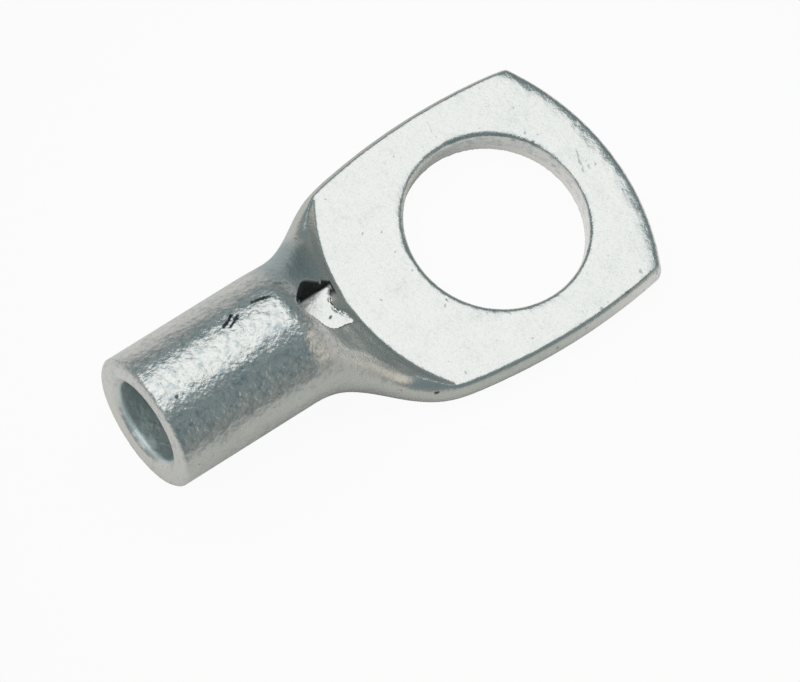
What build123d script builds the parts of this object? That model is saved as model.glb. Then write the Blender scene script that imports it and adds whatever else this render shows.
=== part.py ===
from build123d import *
from math import asin, cos, radians, sin, sqrt, tan
import os

# Tubular cable lug for a 10 mm2 conductor and an M10 stud, in millimetres.
# It is one length of tube: round where the conductor goes in, pressed flat where it is bolted down.
# Origin: centre of the stud hole on the underside. +Z is up, +X runs out to the tip of the palm.

# Tube
barrel_diameter = 8.0
wall = 1.5
barrel_lift = 1.0               # underside of the barrel over the underside of the palm
mouth_reach = 24.9              # stud hole centre to the mouth of the barrel
mouth_funnel = 0.35             # lead-in for the strands
mouth_break = 0.2               # the sawn end is deburred

# Palm
palm_thickness = 1.9
palm_width = 16.0
side_arc_radius = 39.0          # the long sides bow out, widest beside the stud hole
tip_reach = 8.1                 # stud hole centre to the middle of the tip
tip_arc_radius = 14.8
tip_corner_rounding = 0.6
palm_edge_rounding = 0.25
stud_hole_diameter = 10.5
hole_rim_rounding = 0.25        # the punch draws the upper rim in
hole_rim_break = 0.1            # the lower rim is only deburred

# Neck, where the tube spreads into the palm
neck_start = -15.8
neck_end = -7.4
crown_end = -9.0                # the top comes down sooner than the sides spread
crown_sag = 0.5                 # and in the end it sinks this far between its shoulders
squash_over = 0.6               # tube left over the finished palm before the punch flattens it
squash_under = 0.45             # tube left under it before the anvil does
flank_fullness = 1.8            # 1 gives flattened sections drooping shoulders, more makes them squarer

# Press tool: a round-nosed punch with sloping flanks comes down on the tube
step_arc_radius = 11.1
step_arc_centre = 1.0           # along X
ramp_angle = 56.0               # from the palm, in degrees, along the middle
ramp_blunting = 3.5             # the nose gets this much blunter with each millimetre up the ramp

# Hollow neck
pinch_gap = 0.3                 # where it is this low the hollow ends

# Inspection hole: pierced round in the tube, then drawn into two horns round the foot of the ramp
peep_round = [(-12.3, 1.88), (-14.0, 1.1), (-14.88, 0.1), (-14.35, -0.85), (-13.4, -1.4)]
peep_horn_near = (-10.4, -0.7)
peep_tongue_near = (-11.05, 0.55)
peep_tongue_far = (-10.95, 1.1)
peep_horn_far = (-10.3, 1.9)
peep_tongue_radius = 0.35
peep_bite = 0.05                # the cut goes this far into the floor of the hollow

barrel_radius = barrel_diameter / 2
bore_radius = barrel_radius - wall
barrel_axis = barrel_lift + barrel_radius
barrel_top = barrel_lift + barrel_diameter
half_palm = palm_width / 2
side_play = 0.1                 # the die for the tip stands this far off the sides
clear = 1.0                     # how far a cutter runs past what it cuts
station_gap = 1.5               # between the sections of the pressed tube


def palm_half_width(x):
    """Half the width of the bowed palm at x."""
    return half_palm - side_arc_radius + sqrt(side_arc_radius**2 - x**2)


def spread(x, end):
    """How far the tube is flattened at x: 0 in the barrel, 1 from the given end of the neck."""
    way = min(max((x - neck_start) / (end - neck_start), 0), 1)
    return way * way * (3 - 2 * way)


def place_of(flat, end):
    """Where the tube is flattened this far, the inverse of spread."""
    return neck_start + (end - neck_start) * (0.5 - sin(asin(1 - 2 * flat) / 3))


def oval(x, half_width, bottom, top, sag):
    """A section of the squashed tube: two side arcs, with a flatter arc over and under."""
    half_height = (top - bottom) / 2
    turn = radians(90 - 45 * (half_height / half_width)**flank_fullness)
    side, rise = cos(turn), sin(turn)
    side_centre = (half_width - half_height) / (side + rise - 1) * side
    corner_y = side_centre + (half_width - side_centre) * side
    corner_z = (half_width - side_centre) * rise
    # A builder would join the arcs of the round section into one, and the loft needs four in each
    outline = Wire([
        ThreePointArc((corner_y, -corner_z), (half_width, 0), (corner_y, corner_z)),
        ThreePointArc((corner_y, corner_z), (0, half_height - sag), (-corner_y, corner_z)),
        ThreePointArc((-corner_y, corner_z), (-half_width, 0), (-corner_y, -corner_z)),
        ThreePointArc((-corner_y, -corner_z), (0, -half_height), (corner_y, -corner_z)),
    ])
    return Plane((x, 0, bottom + half_height), x_dir=(0, 1, 0), z_dir=(1, 0, 0)) * Face(outline)


def squashed_tube(x, inset):
    """The pressed tube at x before the punch; inset goes in from its outer face, to a level floor."""
    flat = spread(x, neck_end)
    sunk = spread(x, crown_end)
    half_width = barrel_radius + flat * (palm_half_width(x) - barrel_radius) - inset
    bottom = barrel_lift + inset if inset else barrel_lift * (1 - flat) - squash_under * flat
    top = barrel_top + sunk * (palm_thickness + squash_over - barrel_top) - inset
    return oval(x, half_width, bottom, top, 0 if inset else crown_sag * sunk)


def stations(start, end):
    """Evenly spaced places along X from start to end, about one station gap apart."""
    count = round((end - start) / station_gap)
    return [start + (end - start) * i / count for i in range(count + 1)]


def punch(inset):
    """The press tool, in plan a round nose that is blunter higher up; inset moves its face off the metal."""
    foot = step_arc_radius + inset / sin(radians(ramp_angle))
    growth = 1 / tan(radians(ramp_angle)) + ramp_blunting
    with BuildPart() as tool:
        for level in (0, barrel_top - palm_thickness + clear):
            with BuildSketch(Plane.XY.offset(palm_thickness + level)):
                with Locations((step_arc_centre + ramp_blunting * level, 0)):
                    Circle(foot + growth * level)
        loft(ruled=True)
    return tool.part


# Plan of the tip: a shallow arc between the bowed sides
with BuildSketch() as tip_outline:
    with Locations((tip_reach - tip_arc_radius, 0)):
        Circle(tip_arc_radius)
    for side in (-1, 1):
        with Locations((0, side * (half_palm - side_arc_radius))):
            Circle(side_arc_radius + side_play, mode=Mode.INTERSECT)
    tip_corners = tip_outline.vertices().filter_by(lambda v: v.X > 0 and abs(v.Y) > half_palm / 2)
    fillet(tip_corners, tip_corner_rounding)

# The hollow that is left inside the neck, a wedge closed where the two walls meet
with BuildPart() as cavity:
    sunk_there = (barrel_diameter - 2 * wall - pinch_gap) / (barrel_top - palm_thickness - squash_over)
    loft([squashed_tube(x, wall) for x in stations(neck_start, place_of(sunk_there, crown_end))])
    add(punch(wall), mode=Mode.SUBTRACT)

with BuildPart() as cable_lug:
    # Barrel and the pressed tube beyond it
    with BuildSketch(Plane((-mouth_reach, 0, barrel_axis), z_dir=(1, 0, 0))):
        Circle(barrel_radius)
    extrude(amount=mouth_reach + neck_start - station_gap)
    chamfer(cable_lug.faces().sort_by(Axis.X)[0].edges(), mouth_break)
    # One straight station first, so that the loft leaves the barrel without a bulge
    loft([squashed_tube(x, 0) for x in [neck_start - station_gap] + stations(neck_start, tip_reach + clear)])

    # The flat anvil under the tube and the punch over it
    with BuildSketch(Plane.XY):
        Rectangle(4 * mouth_reach, 2 * palm_width)
    extrude(amount=-squash_under - clear, mode=Mode.SUBTRACT)
    add(punch(0), mode=Mode.SUBTRACT)

    # The tip is blanked off
    with BuildSketch(Plane.XY.offset(-clear)):
        with Locations((tip_reach + mouth_reach - half_palm / 2, 0)):
            Rectangle(2 * mouth_reach, 2 * palm_width)
        add(tip_outline.sketch, mode=Mode.SUBTRACT)
    extrude(amount=palm_thickness + 2 * clear, mode=Mode.SUBTRACT)
    palm_top = cable_lug.faces().filter_by(Axis.Z).sort_by(Axis.Z)[-1]
    palm_edges = palm_top.edges().filter_by(lambda e: e.center().X > -half_palm)
    fillet(palm_edges, palm_edge_rounding)

    # Conductor bore and the hollow behind it
    with BuildSketch(Plane((-mouth_reach, 0, barrel_axis), z_dir=(1, 0, 0))):
        Circle(bore_radius)
    extrude(amount=mouth_reach + neck_start, mode=Mode.SUBTRACT)
    mouth_edge = cable_lug.faces().sort_by(Axis.X)[0].edges().sort_by(SortBy.LENGTH)[0]
    chamfer(mouth_edge, mouth_funnel)
    add(cavity.part, mode=Mode.SUBTRACT)

    # Stud hole
    with BuildSketch(Plane.XY.offset(-clear)):
        Circle(stud_hole_diameter / 2)
    extrude(amount=palm_thickness + 2 * clear, mode=Mode.SUBTRACT)
    hole_rims = cable_lug.edges().filter_by(GeomType.CIRCLE).filter_by(
        lambda e: abs(e.radius - stud_hole_diameter / 2) < 0.01).sort_by(Axis.Z)
    fillet(hole_rims[-1], hole_rim_rounding)
    chamfer(hole_rims[0], hole_rim_break)

    # Inspection hole
    with BuildSketch(Plane.XY.offset(barrel_lift + wall - peep_bite)):
        with BuildLine():
            far_lip = Line(peep_horn_far, peep_round[0])
            near_lip = Line(peep_round[-1], peep_horn_near)
            Spline(peep_round, tangents=(far_lip % 1, near_lip % 0))
            FilletPolyline(
                peep_horn_near, peep_tongue_near, peep_tongue_far, peep_horn_far, radius=peep_tongue_radius)
        make_face()
    extrude(amount=barrel_diameter, mode=Mode.SUBTRACT)

cable_lug.part.label = "cable_lug"
os.makedirs("parts", exist_ok=True)
export_step(cable_lug.part, "parts/cable_lug.step")
print("volume", cable_lug.part.volume, "centre", cable_lug.part.center(CenterOf.MASS))
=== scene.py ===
from math import cos, exp, hypot, pi, radians, sqrt

import bmesh
import bpy
from mathutils import Matrix, Vector, noise
from mathutils.bvhtree import BVHTree


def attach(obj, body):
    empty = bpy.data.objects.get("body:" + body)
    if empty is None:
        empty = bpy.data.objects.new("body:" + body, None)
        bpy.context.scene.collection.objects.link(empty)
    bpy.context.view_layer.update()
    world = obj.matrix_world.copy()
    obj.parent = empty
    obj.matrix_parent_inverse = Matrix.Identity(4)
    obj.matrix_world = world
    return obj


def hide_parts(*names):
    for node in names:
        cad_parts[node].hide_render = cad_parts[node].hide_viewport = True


# A tin-plated cable lug: the pressed tube gets its finish, its small wear and a soft studio.
# Its mesh is worked in millimetres and then goes to metres, and patterns are laid out in millimetres too.

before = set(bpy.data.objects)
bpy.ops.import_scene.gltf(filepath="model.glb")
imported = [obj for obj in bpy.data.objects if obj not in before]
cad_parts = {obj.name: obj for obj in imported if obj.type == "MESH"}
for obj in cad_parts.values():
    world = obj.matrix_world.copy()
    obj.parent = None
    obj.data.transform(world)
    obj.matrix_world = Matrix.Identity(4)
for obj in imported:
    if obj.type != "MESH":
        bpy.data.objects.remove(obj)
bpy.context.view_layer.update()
mm = 0.001
print("frame loaded")


def placed(name, data):
    thing = bpy.data.objects.new(name, data)
    bpy.context.scene.collection.objects.link(thing)
    return thing


camera = {
    "place": (-0.141922, -0.096869, 0.352087),
    "turn": (23.6178, -8.2469, -36.5837),  # degrees about X, Y and Z
    "lens": 315,
    "sensor": 36,
    "clipStart": 0.01,
}


def addCamera():
    data = bpy.data.cameras.new("camera")
    data.lens = camera["lens"]
    data.sensor_width = camera["sensor"]
    data.clip_start = camera["clipStart"]
    thing = placed("camera", data)
    thing.location = camera["place"]
    thing.rotation_euler = [radians(angle) for angle in camera["turn"]]
    bpy.context.scene.camera = thing


addCamera()
print("camera placed")


class Value:  # one socket of a node tree: sums and products of values add Math nodes
    def __init__(self, graph, socket):
        self.graph = graph
        self.socket = socket

    def math(self, operation, *others, **settings):
        inputs = dict(enumerate((self,) + others))
        return self.graph.node("ShaderNodeMath", {"operation": operation, **settings}, inputs)

    def __add__(self, other):
        return self.math("ADD", other)

    def __sub__(self, other):
        return self.math("SUBTRACT", other)

    def __rsub__(self, other):
        return (self * -1).math("ADD", other)

    def __mul__(self, other):
        return self.math("MULTIPLY", other)

    def clamped(self):  # kept between 0 and 1
        return self.math("ADD", 0.0, use_clamp=True)

    __radd__ = __add__
    __rmul__ = __mul__


class Graph:  # the node tree of a material or the world, with one way to add any node
    def __init__(self, owner):
        owner.use_nodes = True
        self.tree = owner.node_tree
        self.tree.nodes.clear()

    def node(self, kind, settings=None, inputs=None, output=0):
        made = self.tree.nodes.new(kind)
        for name, setting in (settings or {}).items():
            setattr(made, name, setting)
        for key, value in (inputs or {}).items():
            if isinstance(value, Value):
                self.tree.links.new(value.socket, made.inputs[key])
            else:
                made.inputs[key].default_value = value
        return Value(self, made.outputs[output]) if made.outputs else None

    def vector(self, operation, first, second):  # such as the sum of two vectors
        return self.node("ShaderNodeVectorMath", {"operation": operation}, {0: first, 1: second})

    def measure(self, operation, first, second):  # a number, such as the distance of two places
        return self.node("ShaderNodeVectorMath", {"operation": operation}, {0: first, 1: second}, "Value")

    def scaled(self, vector, factor):
        return self.node("ShaderNodeVectorMath", {"operation": "SCALE"}, {0: vector, "Scale": factor})

    def axes(self, vector):
        split = self.node("ShaderNodeSeparateXYZ", inputs={0: vector}).socket.node
        return [Value(self, output) for output in split.outputs]

    def attribute(self, name):
        return self.node("ShaderNodeAttribute", {"attribute_name": name}, output="Fac")

    def noise(self, place, scale, detail, rough, output=0):
        inputs = {"Vector": place, "Scale": scale, "Detail": detail, "Roughness": rough}
        return self.node("ShaderNodeTexNoise", inputs=inputs, output=output)

    def smooth(self, value, low, high, start=0.0, end=1.0):  # low may be the higher one
        inputs = {"Value": value, "From Min": low, "From Max": high, "To Min": start, "To Max": end}
        return self.node("ShaderNodeMapRange", {"interpolation_type": "SMOOTHSTEP"}, inputs)

    def mixed(self, share, first, second):  # two colours, which are sockets 6 and 7 of this node
        return self.node("ShaderNodeMix", {"data_type": "RGBA"}, {0: share, 6: first, 7: second}, 2)


# An amount is a base, and what each layer of the finish adds to it.
tin = {
    "colour": (0.735, 0.715, 0.68, 1),
    # blue-grey of specks and stains, also painted over the far flank of the neck as a dark reflection
    "speck": (0.40, 0.465, 0.49, 1),
    "dot": (0.20, 0.22, 0.22, 1),
    "dark": (0.03, 0.032, 0.032, 1),  # painted shade inside the inspection hole
    # painted light: the bore's inner wall is lighter and bluer than the tin
    "paintedBoreLight": (0.76, 0.82, 0.81, 1),
    "scored": (0.05, 0.055, 0.06, 1),
    "roughness": (0.12, {"cloud": 0.10, "grain": 0.20, "bore": 0.22, "tube": 0.03, "paintedHoleShade": 0.5}),
    "barrelAxis": 5.0,  # height over the underside in mm, and the fades are in mm too
    "tubeFade": (-9.5, -14.0),  # along X
    "crownFade": (5.5, 8.0),  # height
    "boreFade": (2.7, 2.55),  # from the barrel's axis
    "boreEndFade": (-15.5, -16.5),  # along X
    "paintedFlankReflectionFades": ((-16, -14), (-10, -12), (0.8, 2.4), (2.4, 3.2)),  # where the far flank of the neck gets a painted dark reflection: twice along X, then Y and Z
    "noises": {  # features per mm, detail and roughness, and so below
        "cloud": (0.8, 3, 0.55),
        "speck": (2.4, 5, 0.72),
        "grain": (8.0, 2, 0.6),
        "dot": (2.1, 1, 0.5),
        "stain": (2.6, 3, 0.6),
    },
    "speckFrom": (0.785, {"cloud": -0.45}),
    "speckSteepness": 6.0,
    "speckShare": (0.24, {"crown": 0.28, "tube": 0.34}),
    "stained": (0.51, 0.62, 0, 0.5),  # noise from and to, and the share there, and so below
    "worn": (0.40, 0.60, 0, 0.5),
    # share of the blue-grey painted over the far flank of the neck as a dark reflection
    "paintedFlankReflectionShare": 0.95,
    "grained": (0.52, 0.78, 0, 0.32),
    "grainShare": (0.5, {"tube": 0.4}),
    "dotted": (0.735, 0.765, 0, 0.5),
    # share of the painted shade in the inspection hole, varied by the speck noise
    "paintedShadeShare": (0.7, {"speck": 0.5}),
    "relief": [  # features per mm, height in mm and amount of the dents, pits and rubs
        (1.3, 0.075, (0.05, {"tube": 0.95})),
        (3.0, 0.046, (0.40, {"crown": 0.6, "edged": 0.5})),
        (9.0, 0.007, (0.6, {"tube": 0.4})),
    ],
    "reliefGrit": (2, 0.55),  # detail and roughness
    "stray": (3.0, 2, 0.5),
    "wander": 0.35,  # mm that a mark strays
    "markCore": 0.4,  # share of a mark's width that is darkest
    "marks": [  # start, end, half width in mm, depth of the dark
        ((-19.15, 1.15, 8.83), (-18.35, 1.52, 8.70), 0.14, 1.0),
        ((-18.85, 0.93, 8.89), (-18.10, 1.30, 8.78), 0.13, 1.0),
        ((-16.95, 1.54, 8.64), (-16.05, 1.28, 8.79), 0.17, 0.9),
        ((-23.70, -0.79, 8.92), (-23.66, -0.80, 8.92), 0.13, 0.9),
        ((6.39, 1.11, 1.87), (5.95, -0.23, 1.90), 0.08, 0.35),
        ((6.75, 1.02, 1.85), (6.35, -0.26, 1.87), 0.08, 0.40),
        ((7.05, 0.85, 1.82), (6.80, -0.15, 1.84), 0.07, 0.35),
        ((0.30, 7.10, 1.88), (0.14, 6.00, 1.90), 0.05, 0.25),
        ((-5.30, -2.30, 1.86), (-5.24, -2.50, 1.86), 0.10, 0.7),
        ((-9.10, -6.50, 1.80), (-8.95, -6.42, 1.85), 0.15, 0.9),
        ((-11.60, 0.25, 2.45), (-11.56, 0.25, 2.45), 0.13, 0.9),
    ],
}


def regions(g, inMm):  # each is 1 on its part of the lug and 0 elsewhere
    x, y, z = g.axes(inMm)
    up = z - tin["barrelAxis"]
    fromAxis = (y * y + up * up).math("SQRT")
    tube = g.smooth(x, *tin["tubeFade"])
    start, end, side, foot = tin["paintedFlankReflectionFades"]
    return {
        "tube": tube,
        "crown": g.smooth(z, *tin["crownFade"]) * tube,
        "bore": g.smooth(fromAxis, *tin["boreFade"]) * g.smooth(x, *tin["boreEndFade"]),
        # the far flank of the neck, where a dark reflection is painted
        "paintedFlankReflection": g.smooth(x, *start) * g.smooth(x, *end) * g.smooth(y, *side) * g.smooth(z, *foot),
        "edged": g.attribute("edged"),
        # painted shade inside the inspection hole
        "paintedHoleShade": g.attribute("paintedHoleShade"),
    }


def summed(layers, amount):
    total, shares = amount
    for name, share in shares.items():
        total = layers[name] * share + total
    return total


def markShare(g, place):  # where the metal is scored or nicked
    total = 0.0
    for start, end, halfWidth, deep in tin["marks"]:
        run = Vector(end) - Vector(start)
        gone = g.vector("SUBTRACT", place, start)
        along = (g.measure("DOT_PRODUCT", gone, run) * (1 / run.length_squared)).clamped()
        off = g.measure("DISTANCE", gone, g.scaled(run, along))
        total = g.smooth(off, halfWidth * tin["markCore"], halfWidth, deep, 0) + total
    return total.clamped()


def tinColour(g, inMm, layers):
    steep = (layers["speck"] - summed(layers, tin["speckFrom"])) * tin["speckSteepness"]
    specked = steep.clamped() * summed(layers, tin["speckShare"])
    stained = g.smooth(layers["stain"], *tin["stained"]) * layers["crown"]
    worn = g.smooth(layers["speck"], *tin["worn"]) * layers["edged"]
    # specks, stains and wear, plus the painted dark reflection on the far flank of the neck
    stainsAndPaintedReflection = specked + stained + worn + layers["paintedFlankReflection"] * tin["paintedFlankReflectionShare"]
    grained = g.smooth(layers["grain"], *tin["grained"]) * summed(layers, tin["grainShare"])
    # painted shade on the walls and the floor of the inspection hole
    dark = layers["paintedHoleShade"] * summed(layers, tin["paintedShadeShare"])
    strayed = g.scaled(g.vector("SUBTRACT", g.noise(inMm, *tin["stray"], "Color"), (0.5,) * 3), tin["wander"])
    colour = g.mixed(stainsAndPaintedReflection.clamped(), tin["colour"], tin["speck"])
    colour = g.mixed(grained, colour, tin["speck"])
    colour = g.mixed(g.smooth(layers["dot"], *tin["dotted"]), colour, tin["dot"])
    # painted light inside the bore
    colour = g.mixed(layers["bore"], colour, tin["paintedBoreLight"])
    colour = g.mixed(dark.clamped(), colour, tin["dark"])
    return g.mixed(markShare(g, g.vector("ADD", inMm, strayed)), colour, tin["scored"])


def tinnedCopper():
    material = bpy.data.materials.new("tinnedCopper")
    g = Graph(material)
    inMm = g.scaled(g.node("ShaderNodeTexCoord", output="Object"), 1 / mm)
    layers = regions(g, inMm)
    for name, grit in tin["noises"].items():
        layers[name] = g.noise(inMm, *grit)
    height = 0.0
    for scale, deep, amount in tin["relief"]:
        height = (g.noise(inMm, scale, *tin["reliefGrit"]) - 0.5) * deep * summed(layers, amount) + height
    finish = {
        "Base Color": tinColour(g, inMm, layers),
        "Metallic": 1.0,
        "Roughness": summed(layers, tin["roughness"]),
        "Normal": g.node("ShaderNodeBump", inputs={"Strength": 1.0, "Distance": 1.0, "Height": height * mm}),
    }
    shader = g.node("ShaderNodeBsdfPrincipled", inputs=finish)
    g.node("ShaderNodeOutputMaterial", inputs={"Surface": shader})
    return material


lug = {  # in mm
    "barrelRadius": 4.0,
    "barrelLift": 1.0,
    "barrelSkin": 0.7,  # points this near the barrel's outer face are trued to it
    "mouth": -24.68,
    "neckStart": -15.8,
    "stepFoot": -10.1,
    "halfPalm": 8.0,
    "sideArc": 39.0,
    "tipReach": 8.1,
    "tipArc": 14.8,
    "studHole": 5.25,
    "palmThick": 1.9,
    "merge": 0.002,  # corners of the CAD mesh that are nearer than this are one
    "voxel": 0.13,
    "evenRounds": 3,
    "evenPull": 0.5,
    "rolls": {  # width and depth of the rolled edges, and how bare they are worn
        "tip": (0.95, 0.13, 1.0),
        "side": (0.45, 0.06, 0.3),
        "hole": (0.5, 0.07, 1.0),
    },
    "rollFoot": 0.6,  # height over which the edges roll
    "topPlay": 0.02,  # a point this far over the palm's top is still on it
    "wobbles": [(0.9, 0.5), (2.5, 0.25)],  # waves per mm along the edges, and share of the roll's width
    "lipSink": ((-12.4, -1.6), (1.3, 1.4), (3.0, 6.0), 0.55),  # middle, spread, heights and depth
    "tongue": (-11.35, 0.7, 1.0, 0.57),  # from X on, middle and spread along Y, share it sinks
    "hollowFloor": 2.47,  # just over where the inspection hole was cut to
    "faceUp": 0.85,  # a face that points up this much is a floor
    "faceOut": 0.4,  # and one that does less than this is a wall or an underside
    "peep": ((-15.1, -10.2), (-1.6, 2.1), 2.3),  # reach along X and Y, and floor
    "peepMiddle": 3.5,  # height where the lower walls of the inspection hole end
    "lowWalls": (0.75, 0.95),  # how level a wall lies where its painted shade fades out
    "highWalls": (0.22, 0.42),
    "floorShade": ((-12.8, 0.3), (0.8, -0.6), (-1.9, 0.1), 0.85),  # painted shade on the floor of the hollow: middle, direction, reach, depth
    "tongueFreeOfPaintedShade": ((-11.2, -11.8), (1.1, 1.5)),  # the painted shade comes back past this, along X and Y
}


def evenMesh(source):  # the CAD mesh with faces of one size, and its own faces to snap to
    mesh = source.data.copy()
    work = bmesh.new()
    work.from_mesh(mesh)
    bmesh.ops.remove_doubles(work, verts=work.verts, dist=lug["merge"] * mm)
    work.to_mesh(mesh)
    work.free()
    mesh.transform(Matrix.Scale(1 / mm, 4))
    surface = BVHTree.FromPolygons([v.co for v in mesh.vertices], [p.vertices for p in mesh.polygons])
    thing = placed("evenLug", mesh)
    remesh = thing.modifiers.new("even", "REMESH")
    remesh.mode = "VOXEL"
    remesh.voxel_size = lug["voxel"]
    smooth = thing.modifiers.new("smooth", "SMOOTH")
    smooth.iterations = lug["evenRounds"]
    smooth.factor = lug["evenPull"]
    graph = bpy.context.evaluated_depsgraph_get()
    evened = thing.evaluated_get(graph)
    even = bpy.data.meshes.new_from_object(evened, preserve_all_data_layers=True, depsgraph=graph)
    bpy.data.objects.remove(thing)
    return even, surface


def snapped(mesh, surface):
    radius = lug["barrelRadius"]
    axis = lug["barrelLift"] + radius
    for vertex in mesh.vertices:
        near = surface.find_nearest(vertex.co)[0]
        vertex.co = near
        out = hypot(near.y, near.z - axis)
        if lug["mouth"] < near.x < lug["neckStart"] and out > radius - lug["barrelSkin"]:
            vertex.co.y *= radius / out
            vertex.co.z += (near.z - axis) * (radius / out - 1)


def smoothStep(value, low, high):  # low may be the higher one
    way = min(max((value - low) / (high - low), 0), 1)
    return way * way * (3 - 2 * way)


def bell(value, middle, spread):
    return exp(-((value - middle) / spread) ** 2)


def palmEdges(x, y):  # distance in from the tip, the long sides and the stud hole
    side = lug["halfPalm"] - lug["sideArc"] + sqrt(lug["sideArc"] ** 2 - x * x) - abs(y)
    tip = lug["tipArc"] - hypot(x - lug["tipReach"] + lug["tipArc"], y)
    return {"tip": tip, "side": side, "hole": hypot(x, y) - lug["studHole"]}


def edgeRoll(place):  # how far the palm's edges turn down, and how bare they are worn
    foot, top = lug["rollFoot"], lug["palmThick"]
    drop = 0
    worn = 0
    if place.x > lug["stepFoot"] and foot < place.z < top + lug["topPlay"]:
        wobble = sum(share * noise.noise(place * waves) for waves, share in lug["wobbles"])
        for name, gap in palmEdges(place.x, place.y).items():
            width, depth, bare = lug["rolls"][name]
            share = min(max(1 - gap / (width * (1 + wobble)), 0), 1)
            drop += share * share * depth * smoothStep(place.z, foot, top)
            worn += share * bare
    return drop, worn


def lipDrop(place):  # the near lip of the inspection hole is bent in
    (middleX, middleY), (long, wide), heights, depth = lug["lipSink"]
    return depth * bell(place.x, middleX, long) * bell(place.y, middleY, wide) * smoothStep(place.z, *heights)


def tongueDrop(place, level):  # and so is the tongue of the ramp, down to the floor of the hollow
    start, middle, wide, share = lug["tongue"]
    near, far = lug["peep"][1]
    above = place.z - lug["palmThick"]
    onFloor = place.z < lug["hollowFloor"] and level > lug["faceUp"]
    if not (start < place.x < lug["stepFoot"] and near < place.y < far) or above <= 0 or onFloor:
        return 0
    drop = above * share * bell(place.y, middle, wide)
    return min(drop, place.z - lug["hollowFloor"]) if level < lug["faceOut"] else drop


def shelter(place, level):  # painted shade on the walls and the floor of the inspection hole
    (left, right), (near, far), floor = lug["peep"]
    if not (left < place.x < right and near < place.y < far and place.z > floor):
        return 0
    low = place.z < lug["peepMiddle"]
    wall = 1 - smoothStep(abs(level), *lug["lowWalls" if low else "highWalls"])
    (middleX, middleY), (aimX, aimY), reach, depth = lug["floorShade"]
    out = (place.x - middleX) * aimX + (place.y - middleY) * aimY
    shade = depth * (1 - smoothStep(out, *reach)) if low else 0
    tongueX, tongueY = lug["tongueFreeOfPaintedShade"]
    return max(wall, shade) * max(smoothStep(place.x, *tongueX), smoothStep(place.y, *tongueY))


def worked(mesh):  # what pressing and piercing did to the edges, and where the inspection hole gets painted shade
    levels = [vertex.normal.z for vertex in mesh.vertices]  # all read before the first point moves
    edged = []
    paintedHoleShade = []
    for vertex, level in zip(mesh.vertices, levels):
        place = vertex.co.copy()
        drop, worn = edgeRoll(place)
        vertex.co.z -= drop + lipDrop(place) + tongueDrop(place, level)
        edged.append(worn)
        paintedHoleShade.append(shelter(place, level))
    for name, values in (("edged", edged), ("paintedHoleShade", paintedHoleShade)):
        mesh.attributes.new(name, "FLOAT", "POINT").data.foreach_set("value", values)


even, surface = evenMesh(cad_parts["cable_lug"])
snapped(even, surface)
worked(even)
print("even mesh:", len(even.vertices), "points,", len(even.polygons), "faces")
even.transform(Matrix.Scale(mm, 4))
for polygon in even.polygons:
    polygon.use_smooth = True
cableLug = placed("cableLug", even)
cableLug.data.materials.clear()
cableLug.data.materials.append(tinnedCopper())
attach(cableLug, "root")
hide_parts("cable_lug")
print("lug dressed")

studio = {
    "floorSize": 6.0,  # metres
    # the paper's colour, painted pale near the lug and dark grey away from it
    "paperNear": (0.86, 0.83, 0.785, 1),
    "paperFar": (0.28, 0.285, 0.28, 1),
    "paperMiddle": (-4, -10, 0),  # mm, as all places and reaches on the paper
    "paperReach": (17, 60),  # from there, over which the paper is painted darker, a painted pool of light around the lug
    "cameraWhite": 0.94,  # share of plain white that the camera sees in the paper
    # painted light on the paper that only reflections see: plain white by place, brighter towards minus X and
    # plus Y
    "whiteAim": (-0.7, 0.7, 0),
    "whiteReach": (7, 23),  # along the aim
    "mirroredWhite": (0.02, 0.48),  # share of painted light that only the metal's reflections see, at the start and the end of that reach
    "holeEdge": (0.2, -0.4),  # a painted patch of light on the paper under the stud hole, from its wall
    "holeReach": (-5, 2),  # from its near to its far side
    "holeWhite": (0.75, 0.15),
    "beyondTip": (23, -4, 0),
    "tipReach": (10, 27),  # from there, a painted pool of light on the paper beyond the tip
    "tipWhite": (0.95, 0),
    "softboxPlace": (-0.44, 0.255, 0.5),  # metres
    "softboxSize": (1.62, 0.70),
    "softboxLevel": 1.02,  # radiance
    "skyTop": (0.185, 0.25, 0.27, 1),
    "skyEdge": (0.27, 0.29, 0.28, 1),
    "skyFade": (-0.05, 0.35),  # from the edge to the top, as the sine of the height
    "glows": [  # direction, inner and outer angle in degrees, colour
        ((0.82, -0.52, 0.12), 12, 34, (0.80, 0.76, 0.69, 1)),
        ((0.344, 0.94, -0.05), 3, 13, (0.48, 0.51, 0.53, 1)),
    ],
}


def mirroredShare(g, inMm):  # painted pools of light: the share of plain white that the metal sees in the paper
    along = g.measure("DOT_PRODUCT", inMm, studio["whiteAim"])
    fromHole = g.measure("DISTANCE", inMm, (0, 0, 0))
    fromTip = g.measure("DISTANCE", inMm, studio["beyondTip"])
    across = g.axes(inMm)[1]
    holeEdge = [lug["studHole"] + gap for gap in studio["holeEdge"]]
    inHole = g.smooth(fromHole, *holeEdge) * g.smooth(across, *studio["holeReach"], *studio["holeWhite"])
    aside = g.smooth(along, *studio["whiteReach"], *studio["mirroredWhite"])
    return aside + inHole + g.smooth(fromTip, *studio["tipReach"], *studio["tipWhite"])


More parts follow.
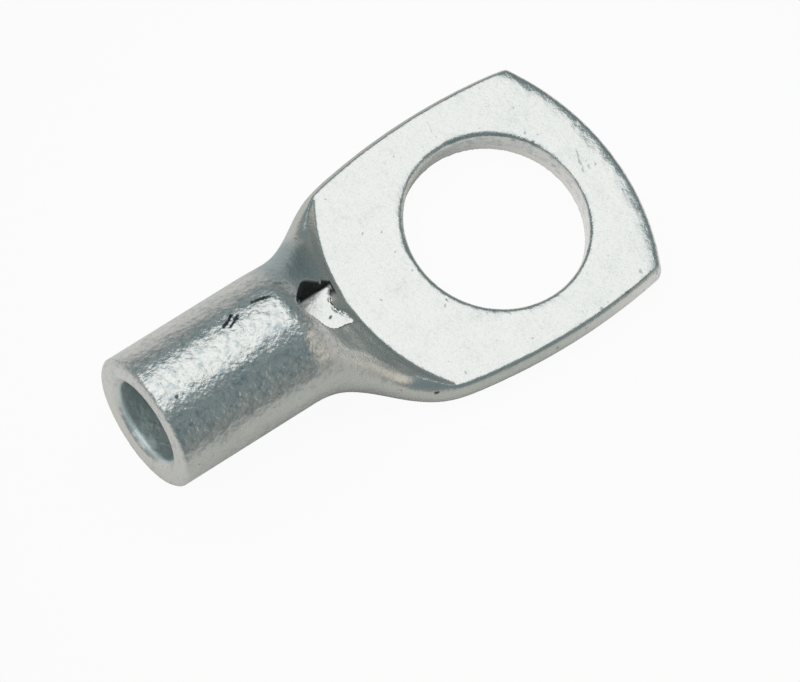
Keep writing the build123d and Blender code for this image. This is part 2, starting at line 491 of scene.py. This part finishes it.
def floorPaper():
    material = bpy.data.materials.new("floorPaper")
    g = Graph(material)
    inMm = g.scaled(g.node("ShaderNodeTexCoord", output="Object"), 1 / mm)
    rays = ("Is Camera Ray", "Is Glossy Ray", "Is Transmission Ray")
    seen, mirrored, through = [g.node("ShaderNodeLightPath", output=ray) for ray in rays]
    share = seen * studio["cameraWhite"] + (mirrored + through) * mirroredShare(g, inMm)
    # painted pool of light: the paper darkens away from a spot near the lug
    away = g.smooth(g.measure("DISTANCE", inMm, studio["paperMiddle"]), *studio["paperReach"])
    colour = g.mixed(away, studio["paperNear"], studio["paperFar"])
    paper = g.node("ShaderNodeBsdfDiffuse", inputs={"Color": colour})
    white = g.node("ShaderNodeEmission", inputs={"Color": (1, 1, 1, 1), "Strength": 1.0})
    shader = g.node("ShaderNodeMixShader", inputs={0: share, 1: paper, 2: white})
    g.node("ShaderNodeOutputMaterial", inputs={"Surface": shader})
    return material


def addFloor():
    half = studio["floorSize"] / 2
    mesh = bpy.data.meshes.new("floor")
    corners = [(-half, -half, 0), (half, -half, 0), (half, half, 0), (-half, half, 0)]
    mesh.from_pydata(corners, [], [(0, 1, 2, 3)])
    mesh.materials.append(floorPaper())
    floor = placed("floor", mesh)


def addSoftbox():  # a level panel overhead, its light goes straight down
    data = bpy.data.lights.new("softbox", "AREA")
    data.shape = "RECTANGLE"
    data.size, data.size_y = studio["softboxSize"]
    data.energy = studio["softboxLevel"] * pi * data.size * data.size_y
    panel = placed("softbox", data)
    panel.location = studio["softboxPlace"]
    panel.visible_camera = False


def addSky():
    world = bpy.data.worlds.new("studio")
    g = Graph(world)
    way = g.node("ShaderNodeTexCoord", output="Generated")
    height = g.axes(way)[2]
    colour = g.mixed(g.smooth(height, *studio["skyFade"]), studio["skyEdge"], studio["skyTop"])
    for aim, inner, outer, glow in studio["glows"]:
        near = g.measure("DOT_PRODUCT", way, Vector(aim).normalized())
        colour = g.mixed(g.smooth(near, cos(radians(outer)), cos(radians(inner))), colour, glow)
    shade = g.node("ShaderNodeBackground", inputs={"Color": colour, "Strength": 1.0})
    g.node("ShaderNodeOutputWorld", inputs={"Surface": shade})
    bpy.context.scene.world = world


addFloor()
addSoftbox()
addSky()
bpy.context.scene.view_settings.view_transform = "Standard"
print("studio lit")
